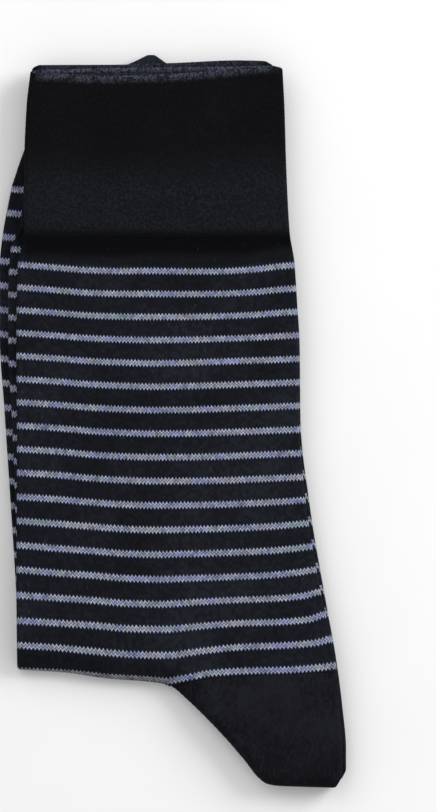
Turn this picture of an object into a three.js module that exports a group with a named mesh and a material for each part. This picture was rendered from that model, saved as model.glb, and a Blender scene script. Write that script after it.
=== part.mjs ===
// A pair of knitted dress socks, laid on each other in profile and folded once at the ankle.
// The outer sock wraps the inner one, so from the top the layers are outer leg, inner leg,
// inner foot, outer foot. The heel pockets stick out below the fold at the heel side.
// Millimetres: +X runs from the instep to the heel, +Y up the legs to the cuffs, +Z is up.

import * as THREE from "three";

// Driving sizes
const tube = 2.0;               // a flattened tube of plain knit, two 1 mm walls on each other
const welt = 2.6;               // a flattened cuff, two 1.15 mm double walls and the slit between
const weltWall = 1.15;
const mouthDepth = 28;          // how far down the cuff its mouth stands open
const gap = 0.3;                // clearance between any two pieces
const halfTube = tube / 2;
const seam = gap / 2;           // each piece stops this far from the course it ends on
const foldSeam = 0.24;          // and this far at the instep fold, where the inside is tight
const cornerSeam = { extra: 0.42, reach: 5 };   // and further round the corner where pieces meet
const heelStart = 2.4;          // the heel pocket begins this far past the instep corner
const heelBlend = 8;            // its side goes from the foot's to the leg's over this distance
const centre = { x: -0.1, y: -0.26 };   // middle of the folded pair, taken off every point

const cloth = {
  cuff: { color: 0x161519, roughness: 0.95, metalness: 0 },
  leg: { color: 0x262a36, roughness: 0.93, metalness: 0 },
  foot: { color: 0x262a36, roughness: 0.93, metalness: 0 },
  heel: { color: 0x1a1a1f, roughness: 0.95, metalness: 0 },
  toe: { color: 0x1a1a1f, roughness: 0.95, metalness: 0 },
};

// The sock on the outside of the fold
const outerSock = {
  name: "outer",
  footHeight: halfTube,         // mid-height of the foot's layer
  cuffHeight: 2 * (tube + gap) + welt + gap + welt / 2,
  corner: -2.2,                 // x where the instep fold ends and the heel's gore begins
  legSides: [                   // the leg and cuff seen from above
    { y: 118.5, left: -48.5, right: 37.3 },
    { y: 107.0, left: -49.8, right: 37.9 },
    { y: 87.0, left: -50.6, right: 38.5 },
    { y: 64.0, left: -50.6, right: 39.7 },
    { y: 53.0, left: -52.8, right: 41.4 },
    { y: 26.0, left: -53.3, right: 42.7 },
    { y: 0.0, left: -53.1, right: 42.9 },
    { y: -25.0, left: -53.1, right: 44.9 },
    { y: -56.0, left: -53.3, right: 49.8 },
    { y: -84.0, left: -53.1, right: 55.6 },
    { y: -102.0, left: -53.1, right: 56.9 },
    { y: -112.0, left: -53.1, right: 57.6 },
    { y: -120.0, left: -53.1, right: 57.6 },
    { y: -125.1, left: -53.1, right: 55.2 },
  ],
  footSides: [                  // the foot behind the legs
    { y: 79.0, left: -54.4, right: 26.4 },
    { y: 58.0, left: -58.0, right: 26.8 },
    { y: 30.0, left: -58.4, right: 27.4 },
    { y: 5.0, left: -57.1, right: 28.4 },
    { y: -27.0, left: -54.8, right: 30.6 },
    { y: -51.0, left: -53.7, right: 36.4 },
    { y: -71.0, left: -53.3, right: 45.6 },
    { y: -91.0, left: -53.1, right: 54.6 },
    { y: -112.0, left: -53.1, right: 57.6 },
    { y: -120.0, left: -53.1, right: 57.6 },
    { y: -125.1, left: -53.1, right: 55.2 },
  ],
  foldLine: [                   // outermost edge of the fold: instep, gore of the heel, heel turn
    { x: -53.1, y: -84.8 },
    { x: -38.0, y: -85.8 },
    { x: -21.0, y: -88.0 },
    { x: -8.0, y: -88.8 },
    { x: -4.0, y: -89.2 },
    { x: -0.4, y: -90.7 },
    { x: 5.1, y: -95.3 },
    { x: 16.0, y: -106.3 },
    { x: 24.1, y: -115.4 },
    { x: 29.4, y: -121.9 },
    { x: 32.3, y: -123.8 },
    { x: 36.0, y: -124.4 },
    { x: 57.4, y: -125.1 },
  ],
  foldTurn: [                   // radius of the turn: pressed at the instep, full at the heel
    { x: -52.7, radius: 1.5 },
    { x: -8.0, radius: 1.5 },
    { x: 0.0, radius: 1.8 },
    { x: 16.0, radius: 3.5 },
    { x: 57.0, radius: 3.5 },
  ],
  heelCourse: [                 // last striped course before the heel, on the leg and on the sole
    { x: -52.7, y: -97.0 },
    { x: -8.0, y: -91.6 },
    { x: -2.2, y: -89.8 },
    { x: 4.0, y: -88.8 },
    { x: 12.0, y: -87.8 },
    { x: 30.0, y: -86.8 },
    { x: 57.0, y: -85.6 },
  ],
  weltCourse: 62.4,             // the cuff's lower edge
  mouth: [                      // top edge of the cuff's front and back walls
    { x: -48.3, front: 117.6, back: 118.6 },
    { x: -40.0, front: 117.4, back: 118.9 },
    { x: -21.0, front: 116.6, back: 119.4 },
    { x: 0.0, front: 117.3, back: 119.7 },
    { x: 16.0, front: 118.5, back: 119.9 },
    { x: 33.0, front: 120.1, back: 120.2 },
    { x: 37.1, front: 119.0, back: 119.4 },
  ],
  mouthLift: 1.1,               // how far the front wall stands up at the middle of the mouth
  toeCourse: 74.5,
  toeSides: [
    { y: 74.5, left: -55.3, right: 26.5 },
    { y: 86.5, left: -51.8, right: 25.4 },
    { y: 98.5, left: -46.0, right: 21.6 },
    { y: 106.5, left: -39.0, right: 15.4 },
    { y: 112.5, left: -30.0, right: 7.6 },
    { y: 116.5, left: -20.0, right: -0.4 },
    { y: 118.7, left: -12.6, right: -5.8 },
  ],
};

// The sock inside the fold, 3 to 5 mm higher and turned a little clockwise
const innerSock = {
  name: "inner",
  footHeight: halfTube + tube + gap,
  cuffHeight: 2 * (tube + gap) + welt / 2,
  corner: 3.0,
  legSides: [
    { y: 121.0, left: -47.8, right: 34.0 },
    { y: 107.0, left: -49.3, right: 35.8 },
    { y: 87.0, left: -50.4, right: 37.7 },
    { y: 66.0, left: -52.2, right: 39.2 },
    { y: 58.0, left: -55.3, right: 40.0 },
    { y: 44.0, left: -56.1, right: 41.8 },
    { y: 26.0, left: -56.1, right: 43.1 },
    { y: 0.0, left: -54.8, right: 43.4 },
    { y: -30.0, left: -53.7, right: 46.7 },
    { y: -61.0, left: -52.9, right: 51.9 },
    { y: -81.0, left: -52.5, right: 55.5 },
    { y: -97.0, left: -52.5, right: 57.6 },
    { y: -112.0, left: -52.5, right: 58.9 },
    { y: -118.6, left: -52.5, right: 58.9 },
    { y: -122.1, left: -52.5, right: 57.2 },
  ],
  footSides: [
    { y: 80.0, left: -54.9, right: 25.0 },
    { y: 62.0, left: -58.2, right: 25.6 },
    { y: 52.0, left: -59.1, right: 26.0 },
    { y: 29.0, left: -59.1, right: 26.6 },
    { y: 4.0, left: -57.5, right: 27.6 },
    { y: -29.0, left: -55.3, right: 30.2 },
    { y: -51.0, left: -53.9, right: 35.4 },
    { y: -71.0, left: -52.9, right: 44.4 },
    { y: -91.0, left: -52.5, right: 53.8 },
    { y: -112.0, left: -52.5, right: 58.9 },
    { y: -118.6, left: -52.5, right: 58.9 },
    { y: -122.1, left: -52.5, right: 57.2 },
  ],
  foldLine: [
    { x: -52.5, y: -79.3 },
    { x: -38.0, y: -80.3 },
    { x: -21.0, y: -82.5 },
    { x: 1.0, y: -84.1 },
    { x: 5.0, y: -87.1 },
    { x: 27.5, y: -115.1 },
    { x: 32.5, y: -120.1 },
    { x: 41.0, y: -121.9 },
    { x: 59.3, y: -122.2 },
  ],
  foldTurn: [
    { x: -52.0, radius: (tube + gap) / 2 },
    { x: 59.0, radius: (tube + gap) / 2 },
  ],
  heelCourse: [
    { x: -52.0, y: -93.0 },
    { x: -4.0, y: -85.2 },
    { x: 3.0, y: -83.2 },
    { x: 12.0, y: -82.6 },
    { x: 30.0, y: -82.0 },
    { x: 59.0, y: -81.4 },
  ],
  weltCourse: 65.4,
  mouth: [
    { x: -47.6, front: 119.4, back: 119.2 },
    { x: -45.6, front: 120.4, back: 120.1 },
    { x: -21.0, front: 120.5, back: 120.2 },
    { x: 0.0, front: 121.1, back: 120.8 },
    { x: 22.0, front: 122.0, back: 121.6 },
    { x: 31.0, front: 121.8, back: 121.4 },
    { x: 33.8, front: 120.4, back: 120.2 },
  ],
  mouthLift: 0,
  toeCourse: 80.0,
  toeSides: [
    { y: 80.0, left: -54.9, right: 25.0 },
    { y: 92.5, left: -50.5, right: 23.8 },
    { y: 105.0, left: -43.6, right: 18.6 },
    { y: 112.5, left: -34.0, right: 10.6 },
    { y: 117.5, left: -24.0, right: 2.0 },
    { y: 121.0, left: -16.2, right: -1.4 },
    { y: 122.2, left: -13.4, right: -3.0 },
    { y: 123.4, left: -10.9, right: -4.6 },
    { y: 124.5, left: -9.2, right: -5.8 },
  ],
};

// Where the outer leg lies on the inner sock
const innerTurn = (tube + gap) / 2;
const wrapRadius = innerTurn + tube + 1.5 * gap;
const wrapHeight = innerSock.footHeight + innerTurn;

// Soft swell that the folded heel seam pushes up through the outer leg
const swell = { x: 0.5, y: -72, wide: 9, long: 17, height: 0.7 };

// A smooth curve through a table's rows that never swings past them.
// `key` is the column walked along and `column` the one read.
function curve(table, key, column) {
  const rows = [...table].sort((a, b) => a[key] - b[key]);
  const slope = rows.slice(1).map((row, i) =>
    (row[column] - rows[i][column]) / (row[key] - rows[i][key]));
  const tangent = rows.map((_, i) => {
    if (i === 0) return slope[0];
    if (i === rows.length - 1) return slope[i - 1];
    const [before, after] = [slope[i - 1], slope[i]];
    return before * after <= 0 ? 0 : (2 * before * after) / (before + after);
  });
  return (at) => {
    const last = rows.length - 1;
    if (at <= rows[0][key]) return rows[0][column] + tangent[0] * (at - rows[0][key]);
    if (at >= rows[last][key]) return rows[last][column] + tangent[last] * (at - rows[last][key]);
    const i = rows.findIndex((row) => row[key] > at) - 1;
    const step = rows[i + 1][key] - rows[i][key];
    const t = (at - rows[i][key]) / step;
    const rise = rows[i + 1][column] - rows[i][column];
    return rows[i][column] + rise * t * t * (3 - 2 * t)
      + step * t * (1 - t) * (tangent[i] * (1 - t) - tangent[i + 1] * t);
  };
}

// Adds the curves of a sock's tables to it
function withCurves(sock) {
  return {
    ...sock,
    legLeft: curve(sock.legSides, "y", "left"),
    legRight: curve(sock.legSides, "y", "right"),
    footLeft: curve(sock.footSides, "y", "left"),
    footRight: curve(sock.footSides, "y", "right"),
    toeLeft: curve(sock.toeSides, "y", "left"),
    toeRight: curve(sock.toeSides, "y", "right"),
    fold: curve(sock.foldLine, "x", "y"),
    turn: curve(sock.foldTurn, "x", "radius"),
    heel: curve(sock.heelCourse, "x", "y"),
    mouthFront: curve(sock.mouth, "x", "front"),
    mouthBack: curve(sock.mouth, "x", "back"),
  };
}
const outer = withCurves(outerSock);
const inner = withCurves(innerSock);

// How much thicker a wall is along Y than square to the fold line at x
function slant(sock, x) {
  const step = 0.5;
  return Math.hypot(1, (sock.fold(x + step) - sock.fold(x - step)) / (2 * step));
}

// The hairpin that a sock's middle follows in the plane of one x: a small turn at the fold,
// a straight ramp, an arc over the sock inside it, then level.
function hairpin(sock, x) {
  const radius = sock.turn(x);
  const y = sock.fold(x) + halfTube * slant(sock, x) + radius;
  const z = sock.footHeight + radius;
  const level = { radius, y, z, incline: 0, ramp: 0, over: radius, top: y, topZ: z };
  if (sock !== outer) return level;
  const top = inner.fold(x) + halfTube * slant(inner, x) + innerTurn;
  const [run, rise] = [top - y, wrapHeight - z];
  const reach = Math.hypot(run, rise);
  const spread = wrapRadius - radius;
  const incline = Math.asin(Math.min(1, spread / reach)) + Math.atan2(rise, run);
  const ramp = Math.sqrt(Math.max(0, reach * reach - spread * spread));
  return { ...level, incline, ramp, over: wrapRadius, top, topZ: wrapHeight };
}

// Height and y of the middle at distance s along a hairpin: 0 is the fold's outermost line,
// positive s runs up the leg and negative s up the foot.
function along(pin, s) {
  const quarter = pin.radius * Math.PI / 2;
  if (s < -quarter) return { y: pin.y - s - quarter, z: pin.z - pin.radius };
  const turned = pin.radius * (Math.PI / 2 - pin.incline);
  if (s <= turned) {
    const angle = s / pin.radius;
    return { y: pin.y - pin.radius * Math.cos(angle), z: pin.z + pin.radius * Math.sin(angle) };
  }
  const [sin, cos] = [Math.sin(pin.incline), Math.cos(pin.incline)];
  const up = s - turned;
  if (up <= pin.ramp) {
    return {
      y: pin.y - pin.radius * sin + up * cos,
      z: pin.z + pin.radius * cos + up * sin,
    };
  }
  const left = pin.incline - (up - pin.ramp) / pin.over;
  if (left <= 0) return { y: pin.top - left * pin.over, z: pin.topZ + pin.over };
  return { y: pin.top - pin.over * Math.sin(left), z: pin.topZ + pin.over * Math.cos(left) };
}

// Distance along the leg (side 1) or the foot (side -1) at which a hairpin reaches y,
// found by halving the span that holds it
const longest = 260;
const halvings = 24;
function reachOf(pin, y, side) {
  let [low, high] = [0, longest];
  for (let i = 0; i < halvings; i += 1) {
    const middle = (low + high) / 2;
    if (along(pin, side * middle).y < y) low = middle;
    else high = middle;
  }
  return side * low;
}

// Closed solid from rings of equal length. A wall loop joins the last ring to the first,
// otherwise both ends are capped between each ring's mirrored halves.
function solid(rings, isLoop) {
  const count = rings[0].length;
  const position = rings.flat().flatMap((p) => [p.x - centre.x, p.y - centre.y, p.z]);
  const index = [];
  const bands = isLoop ? rings.length : rings.length - 1;
  for (let band = 0; band < bands; band += 1) {
    const [here, there] = [band * count, ((band + 1) % rings.length) * count];
    for (let i = 0; i < count; i += 1) {
      const next = (i + 1) % count;
      index.push(here + i, there + next, there + i, here + i, here + next, there + next);
    }
  }
  if (!isLoop) {
    const last = (rings.length - 1) * count;
    for (let i = 0; i < count / 2; i += 1) {
      const [a, b] = [i, i + 1];
      const [c, d] = [count - i - 1, (count - i) % count];
      if (a !== d) index.push(b, a, d, last + a, last + b, last + d);
      if (b !== c) index.push(b, d, c, last + b, last + c, last + d);
    }
  }
  const geometry = new THREE.BufferGeometry();
  geometry.setAttribute("position", new THREE.Float32BufferAttribute(position, 3));
  geometry.setIndex(index);
  return geometry;
}

const sideSteps = 4;            // facets round a tube's pressed side edge

// Stations round a flattened tube, from its left edge: across is 0 to 1 from left to right,
// face is 1 on the outside of the fold and -1 on the inside, bulge rounds the side edges out.
function stations(columns) {
  const rounded = (step, across, way) => {
    const angle = (step / sideSteps) * Math.PI;
    return { across, face: Math.cos(angle), bulge: way * Math.sin(angle) };
  };
  const list = [];
  for (let step = sideSteps / 2; step > 0; step -= 1) list.push(rounded(step, 0, -1));
  for (const across of columns) list.push({ across, face: 1, bulge: 0 });
  for (let step = 1; step < sideSteps; step += 1) list.push(rounded(step, 1, 1));
  for (const across of [...columns].reverse()) list.push({ across, face: -1, bulge: 0 });
  for (let step = sideSteps - 1; step > sideSteps / 2; step -= 1) list.push(rounded(step, 0, -1));
  return list;
}

const settlings = 6;            // passes that settle a point's x and y on each other

const even = (count) => Array.from({ length: count + 1 }, (_, i) => i / count);

// Rows of a stretch: first at set distances past its start, close together where the cloth
// turns, then at even parts of what is left. A short stretch squeezes the set distances.
const turnRows = [0, 0.45, 0.9, 1.35, 1.8, 2.7, 3.9, 5.4, 6.8, 8.2, 9.6];
const turnEnd = turnRows.at(-1);
const rowsTo = (parts) => [
  ...turnRows.map((near) => ({ near, part: 0 })),
  ...even(parts).slice(1).map((part) => ({ near: turnEnd, part })),
];
const rowAt = (row, length) =>
  row.near * Math.min(1, length / turnEnd) + row.part * Math.max(0, length - turnEnd);

// Height of the swell on the outer leg's upper face
function swellAt(x, y) {
  const across = (x - swell.x) / swell.wide;
  const up = (y - swell.y) / swell.long;
  return swell.height * Math.exp(-across * across - up * up);
}

// One stretch of a sock along its hairpin, `distances` long as functions of the hairpin and x,
// one for each row. `left` and `right` give its sides at a y and s. The middle surface is found
// by settling x, since the sides hang on y and y on x. `swells` raises the outer face.
function stretch(sock, { left, right, distances, columns, isCut, swells }) {
  const middle = (across, distance, shift) => {
    let point = { x: 0, y: 0, z: 0 };
    for (let pass = 0; pass < settlings; pass += 1) {
      const pin = hairpin(sock, point.x);
      const s = distance(pin, point.x) + shift;
      const { y, z } = along(pin, s);
      const [a, b] = [left(y, s) + (isCut ? 0 : halfTube), right(y, s) - halfTube];
      point = { x: a + (b - a) * across, y, z };
    }
    return new THREE.Vector3(point.x, point.y, point.z);
  };
  const step = 1e-3;
  const ringAt = (distance) => stations(columns).map(({ across, face, bulge }) => {
    const point = middle(across, distance, 0);
    const side = middle(across + step, distance, 0).sub(middle(across - step, distance, 0));
    const up = middle(across, distance, step).sub(middle(across, distance, -step));
    const out = side.clone().cross(up).normalize();
    const raised = swells && face === 1 ? swellAt(point.x, point.y) * out.z : 0;
    point.addScaledVector(out, halfTube * face + raised);
    if (isCut && across === 0) return point;
    return point.addScaledVector(side.normalize(), halfTube * bulge);
  });
  return solid(distances.map(ringAt), false);
}

// Columns lie closer round the corner where leg, foot and heel meet
const columns = [
  0, 0.1, 0.2, 0.3, 0.38, 0.43, 0.46, 0.48, 0.5, 0.52, 0.54, 0.58, 0.65, 0.75, 0.84, 0.92, 1,
];
const heelColumns = [0, 0.03, 0.06, 0.095, 0.14, 0.25, 0.375, 0.5, 0.625, 0.75, 0.875, 1];

// Where a sock's heel pocket starts on the leg (side 1) or the sole (side -1)
const heelReach = (sock, pin, x, side) => reachOf(pin, sock.heel(x), side);

// Half the width of the seam there: wider along the instep fold, and widest at the corner
// where leg, foot and heel meet
function seamAt(sock, x) {
  const away = (x - sock.corner) / cornerSeam.reach;
  return (x < sock.corner ? foldSeam : seam) + cornerSeam.extra * Math.exp(-away * away);
}

const runRows = 9;              // even rows of a leg or foot past its turn
const pocketRows = 4;           // and of each half of a heel pocket
const weltRows = 8;
const toeRows = [0, 0.03, 0.08, 0.15, 0.25, 0.37, 0.5, 0.75, 1];   // closer towards the tip

function leg(sock) {
  const from = (pin, x) => heelReach(sock, pin, x, 1) + seamAt(sock, x);
  const to = (pin) => reachOf(pin, sock.weltCourse, 1) - seam;
  return stretch(sock, {
    left: sock.legLeft,
    right: sock.legRight,
    distances: rowsTo(runRows).map((row) => (pin, x) => {
      const start = from(pin, x);
      return start + rowAt(row, to(pin) - start);
    }),
    columns,
    swells: sock === outer,
  });
}

function foot(sock) {
  const from = (pin, x) => heelReach(sock, pin, x, -1) - seamAt(sock, x);
  const to = (pin) => reachOf(pin, sock.toeCourse, -1) + seam;
  return stretch(sock, {
    left: sock.footLeft,
    right: sock.footRight,
    distances: rowsTo(runRows).reverse().map((row) => (pin, x) => {
      const start = from(pin, x);
      return start - rowAt(row, start - to(pin));
    }),
    columns,
  });
}

function heel(sock) {
  const reach = (pin, x, side) => heelReach(sock, pin, x, side) - side * seamAt(sock, x);
  const half = (side) => (row) => (pin, x) => side * rowAt(row, side * reach(pin, x, side));
  const rows = rowsTo(pocketRows);
  return stretch(sock, {
    left: () => sock.corner + heelStart,
    right: (y, s) => {
      const onLeg = THREE.MathUtils.smoothstep(s, -heelBlend / 2, heelBlend / 2);
      return THREE.MathUtils.lerp(sock.footRight(y), sock.legRight(y), onLeg);
    },
    distances: [...rows.slice(1).reverse().map(half(-1)), ...rows.map(half(1))],
    columns: heelColumns,
    isCut: true,
  });
}

function toe(sock) {
  const tip = Math.max(...sock.toeSides.map((row) => row.y));
  return stretch(sock, {
    left: sock.toeLeft,
    right: sock.toeRight,
    distances: toeRows.map((part) => (pin) => {
      const [end, start] = [reachOf(pin, tip, -1), reachOf(pin, sock.toeCourse, -1) - seam];
      return end + (start - end) * part;
    }),
    columns: even(10),
  });
}

// A cuff is an open flattened tube. Its front wall lifts at the mouth, and each wall ends
// on its own top edge.
function cuff(sock) {
  const low = sock.weltCourse + seam;
  const ringAt = (row, half, inset) => stations(columns).map(({ across, face, bulge }) => {
    let [x, y] = [0, low];
    for (let pass = 0; pass < settlings; pass += 1) {
      const top = THREE.MathUtils.lerp(sock.mouthBack(x), sock.mouthFront(x), (face + 1) / 2);
      y = low + (top - low) * row;
      const [a, b] = [sock.legLeft(y) + inset, sock.legRight(y) - inset];
      x = a + half + (b - a - 2 * half) * across + half * bulge;
    }
    const up = Math.max(0, 1 - (sock.mouthFront(x) - y) / mouthDepth);
    const lift = sock.mouthLift * (Math.sin(Math.PI * across) * up) ** 2;
    return { x, y, z: sock.cuffHeight + half * face + lift * Math.max(0, face) };
  });
  const rows = even(weltRows);
  const outside = rows.map((row) => ringAt(row, welt / 2, 0));
  const inside = rows.map((row) => ringAt(row, welt / 2 - weltWall, weltWall));
  return solid([...outside, ...inside.reverse()], true);
}

function piece(name, geometry, finish) {
  const mesh = new THREE.Mesh(geometry, new THREE.MeshStandardMaterial(finish));
  mesh.name = name;
  return mesh;
}

const pair = new THREE.Group();
for (const sock of [outer, inner]) {
  for (const [part, shape] of Object.entries({ cuff, leg, heel, foot, toe })) {
    pair.add(piece(`${sock.name}_${part}`, shape(sock), cloth[part]));
  }
}

export default pair;
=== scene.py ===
"""The looks of a pair of knitted dress socks, folded together at the ankle.

Each piece is a closed shell of knit, worked out on a grid of rows and columns. A sock is a
flattened tube whose middle follows a hairpin in the plane of every x: along the foot, round
the fold and up the leg. Lengths are millimetres on the table that the pair lies on, until
knit_piece() turns them into metres of the frame.
"""

import math
from functools import partialmethod
from types import SimpleNamespace

import bpy
import numpy as np
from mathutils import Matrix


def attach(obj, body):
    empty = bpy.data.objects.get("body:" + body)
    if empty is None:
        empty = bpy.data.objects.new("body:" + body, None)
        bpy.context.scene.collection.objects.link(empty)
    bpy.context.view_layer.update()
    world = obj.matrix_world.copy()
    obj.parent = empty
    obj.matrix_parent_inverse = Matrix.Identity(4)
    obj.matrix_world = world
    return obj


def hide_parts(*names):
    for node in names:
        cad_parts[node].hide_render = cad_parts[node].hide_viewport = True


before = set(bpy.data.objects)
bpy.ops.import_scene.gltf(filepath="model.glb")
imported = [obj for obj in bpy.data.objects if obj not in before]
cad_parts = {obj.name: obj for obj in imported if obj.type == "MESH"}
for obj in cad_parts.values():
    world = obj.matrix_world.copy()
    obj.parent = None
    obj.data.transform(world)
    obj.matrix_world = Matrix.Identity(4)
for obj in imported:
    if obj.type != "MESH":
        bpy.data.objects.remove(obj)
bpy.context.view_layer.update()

MM = 0.001
CENTRE = np.array([-0.1, -0.26, 0.0])     # middle of the pair on the table, taken off every point

# Driving sizes, as in the solids
TUBE = 2.0                      # a flattened tube of plain knit
HALF = TUBE / 2
WELT = 2.6                      # a flattened cuff
GAP = 0.3                       # clearance between layers
WALL = 0.85                     # one knitted wall, the rest of the tube is the slit inside it
WELT_WALL = 1.15                # one double wall of the cuff
MOUTH_DEPTH = 28.0              # how far down the cuff its mouth stands open
INNER_TURN = (TUBE + GAP) / 2
WRAP_RADIUS = INNER_TURN + TUBE + 1.5 * GAP
HEEL_CUT = 0.5                  # the heel pocket starts this far past the instep corner
SLIVER = 0.05                   # and is at least this long there, up the leg and up the foot
HEEL_BLEND = 8.0                # its side goes from the foot's to the leg's over this distance

# The knit
FACE_WALES = 80                 # wales across one face
SIDE_WALES = 4                  # and round one pressed side edge
ROUND_WALES = 2 * (FACE_WALES + SIDE_WALES)
COURSE = 1.006                  # height of one course on the legs and the outer foot
REPEAT, PALE = 8, 2             # courses from stripe to stripe, and the pale ones among them
LAST_STRIPE = 17 * REPEAT + 1   # course at the middle of the stripe on the fold


def table(columns, *rows):
    """A small table as one array for each named column."""
    return dict(zip(columns.split(), np.array(rows, float).T))


def curve(rows, key, column):
    """Monotone cubic y(x) through a table's points.

    Between two points it is the Hermite cubic whose end slopes are the harmonic mean of the
    straight slopes on both sides, or 0 at a turn. Past the ends it runs on straight.
    """
    order = np.argsort(rows[key])
    at, value = rows[key][order], rows[column][order]
    slope = np.diff(value) / np.diff(at)
    product = slope[:-1] * slope[1:]
    both = np.where(product > 0, slope[:-1] + slope[1:], 1.0)
    tangent = np.concatenate([slope[:1], np.where(product > 0, 2 * product / both, 0), slope[-1:]])

    def read(x):
        x = np.asarray(x, float)
        i = np.clip(np.searchsorted(at, x, "right") - 1, 0, len(slope) - 1)
        step = at[i + 1] - at[i]
        t = np.clip((x - at[i]) / step, 0, 1)
        rise = (value[i + 1] - value[i]) * t * t * (3 - 2 * t)
        bow = step * t * (1 - t) * (tangent[i] * (1 - t) - tangent[i + 1] * t)
        past = np.minimum(x - at[0], 0) * tangent[0] + np.maximum(x - at[-1], 0) * tangent[-1]
        return value[i] + rise + bow + past

    return read


def smooth(x):
    """0 below 0, 1 above 1 and 3x^2 - 2x^3 between."""
    x = np.clip(x, 0, 1)
    return x * x * (3 - 2 * x)


# The sock on the outside of the fold. A row of `leg`, `foot` and `toe` gives the sides at one y.
OUTER = dict(
    name="outer",
    foot_height=HALF,
    cuff_height=2 * (TUBE + GAP) + WELT + GAP + WELT / 2,
    corner=-2.2,
    leg=table(
        "y left right",
        (118.5, -48.5, 37.3),
        (107.0, -49.8, 37.9),
        (87.0, -50.6, 38.5),
        (64.0, -50.6, 39.7),
        (53.0, -52.8, 41.4),
        (26.0, -53.3, 42.7),
        (0.0, -53.1, 42.9),
        (-25.0, -53.1, 44.9),
        (-56.0, -53.3, 49.8),
        (-84.0, -53.1, 55.6),
        (-102.0, -53.1, 56.9),
        (-112.0, -53.1, 57.6),
        (-120.0, -53.1, 57.6),
        (-125.1, -53.1, 55.2),
    ),
    foot=table(
        "y left right",
        (79.0, -54.4, 26.4),
        (58.0, -58.0, 26.8),
        (30.0, -58.4, 27.4),
        (5.0, -57.1, 28.4),
        (-27.0, -54.8, 30.6),
        (-51.0, -53.7, 36.4),
        (-71.0, -53.3, 45.6),
        (-91.0, -53.1, 54.6),
        (-112.0, -53.1, 57.6),
        (-120.0, -53.1, 57.6),
        (-125.1, -53.1, 55.2),
    ),
    toe=table(
        "y left right",
        (74.5, -55.3, 26.5),
        (86.5, -51.8, 25.4),
        (98.5, -46.0, 21.6),
        (106.5, -39.0, 15.4),
        (112.5, -30.0, 7.6),
        (116.5, -20.0, -0.4),
        (118.7, -12.6, -5.8),
    ),
    fold=table(
        "x y",
        (-53.1, -84.8),
        (-38.0, -85.8),
        (-21.0, -88.0),
        (-8.0, -88.8),
        (-4.0, -89.2),
        (-0.4, -90.7),
        (5.1, -95.3),
        (16.0, -106.3),
        (24.1, -115.4),
        (29.4, -121.9),
        (32.3, -123.8),
        (36.0, -124.4),
        (57.4, -125.1),
    ),
    turn=table("x radius", (-52.7, 1.5), (-8.0, 1.5), (0.0, 1.8), (16.0, 3.5), (57.0, 3.5)),
    heel=table(
        "x y",
        (-52.7, -97.0),
        (-8.0, -91.6),
        (-2.2, -89.8),
        (4.0, -88.8),
        (12.0, -87.8),
        (30.0, -86.8),
        (57.0, -85.6),
    ),
    mouth=table(
        "x front back",
        (-48.3, 117.6, 118.6),
        (-40.0, 117.4, 118.9),
        (-21.0, 116.6, 119.4),
        (0.0, 117.3, 119.7),
        (16.0, 118.5, 119.9),
        (33.0, 120.1, 120.2),
        (37.1, 119.0, 119.4),
    ),
    welt_course=62.4,
    mouth_lift=1.1,
    toe_course=74.5,
    stripe_rise=table("wale rise", (0, 0.0), (168, 0.0)),
    left_drop=0.0,
    foot_course=1.006,
)

# The sock inside the fold, a little higher and turned clockwise
INNER = dict(
    name="inner",
    foot_height=HALF + TUBE + GAP,
    cuff_height=2 * (TUBE + GAP) + WELT / 2,
    corner=3.0,
    leg=table(
        "y left right",
        (121.0, -47.8, 34.0),
        (107.0, -49.3, 35.8),
        (87.0, -50.4, 37.7),
        (66.0, -52.2, 39.2),
        (58.0, -55.3, 40.0),
        (44.0, -56.1, 41.8),
        (26.0, -56.1, 43.1),
        (0.0, -54.8, 43.4),
        (-30.0, -53.7, 46.7),
        (-61.0, -52.9, 51.9),
        (-81.0, -52.5, 55.5),
        (-97.0, -52.5, 57.6),
        (-112.0, -52.5, 58.9),
        (-118.6, -52.5, 58.9),
        (-122.1, -52.5, 57.2),
    ),
    foot=table(
        "y left right",
        (80.0, -54.9, 25.0),
        (62.0, -58.2, 25.6),
        (52.0, -59.1, 26.0),
        (29.0, -59.1, 26.6),
        (4.0, -57.5, 27.6),
        (-29.0, -55.3, 30.2),
        (-51.0, -53.9, 35.4),
        (-71.0, -52.9, 44.4),
        (-91.0, -52.5, 53.8),
        (-112.0, -52.5, 58.9),
        (-118.6, -52.5, 58.9),
        (-122.1, -52.5, 57.2),
    ),
    toe=table(
        "y left right",
        (80.0, -54.9, 25.0),
        (92.5, -50.5, 23.8),
        (105.0, -43.6, 18.6),
        (112.5, -34.0, 10.6),
        (117.5, -24.0, 2.0),
        (121.0, -16.2, -1.4),
        (122.2, -13.4, -3.0),
        (123.4, -10.9, -4.6),
        (124.5, -9.2, -5.8),
    ),
    fold=table(
        "x y",
        (-52.5, -79.3),
        (-38.0, -80.3),
        (-21.0, -82.5),
        (1.0, -84.1),
        (5.0, -87.1),
        (27.5, -115.1),
        (32.5, -120.1),
        (41.0, -121.9),
        (59.3, -122.2),
    ),
    turn=table("x radius", (-52.0, INNER_TURN), (59.0, INNER_TURN)),
    heel=table(
        "x y",
        (-52.0, -93.0),
        (-4.0, -85.2),
        (3.0, -83.2),
        (12.0, -82.6),
        (30.0, -82.0),
        (59.0, -81.4),
    ),
    mouth=table(
        "x front back",
        (-47.6, 119.4, 119.2),
        (-45.6, 120.4, 120.1),
        (-21.0, 120.5, 120.2),
        (0.0, 121.1, 120.8),
        (22.0, 122.0, 121.6),
        (31.0, 121.8, 121.4),
        (33.8, 120.4, 120.2),
    ),
    welt_course=65.4,
    mouth_lift=0.0,
    toe_course=80.0,
    stripe_rise=table(
        "wale rise", (0, 5.3), (2, 5.3), (40, 4.0), (80, 2.2), (82, 1.7), (83, 0.5), (84, -0.8),
        (87, -0.8), (166, 5.3), (168, 5.3),
    ),
    left_drop=1.4,
    foot_course=1.037,
)

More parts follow.
